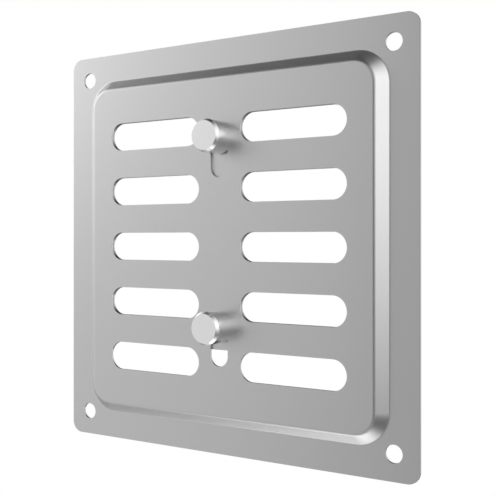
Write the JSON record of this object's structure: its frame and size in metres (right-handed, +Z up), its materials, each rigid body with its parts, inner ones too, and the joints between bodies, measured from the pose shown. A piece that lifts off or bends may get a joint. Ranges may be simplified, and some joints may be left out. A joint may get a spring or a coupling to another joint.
{
  "type": "ventilation grille",
  "caption": "Square pressed-metal hit-and-miss wall grille with long round-ended air slots, a sliding slotted shutter behind them and round knobs that move it.",
  "frame": {"origin": "on the wall plane, at the centre of the flange's back face", "axes": "front towards -Y, +Y into the wall, +Z up, +X to the right seen from the front"},
  "size_m": [0.15, 0.0137, 0.15],
  "materials": {
    "satin_sheet": "satin anodised",
    "shutter_sheet": "satin anodised",
    "turned_knob": "fine turned, satin",
    "nylon": "natural moulded",
    "zinc_steel": "zinc plated"
  },
  "bodies": {
    "frame": {"front_plate": "satin_sheet"},
    "shutter": {"shutter_plate": "shutter_sheet", "upper_knob": "turned_knob", "upper_guide_bush": "nylon", "upper_flat_washer": "zinc_steel", "upper_spring_washer": "zinc_steel", "upper_screw": "zinc_steel", "lower_knob": "turned_knob", "lower_guide_bush": "nylon", "lower_flat_washer": "zinc_steel", "lower_spring_washer": "zinc_steel", "lower_screw": "zinc_steel"}
  },
  "joints": [
    {"name": "shutter_slide", "type": "slide", "parent": "frame", "child": "shutter", "axis": [0, 0, -1], "range_m": [0, 0.0105]}
  ]
}
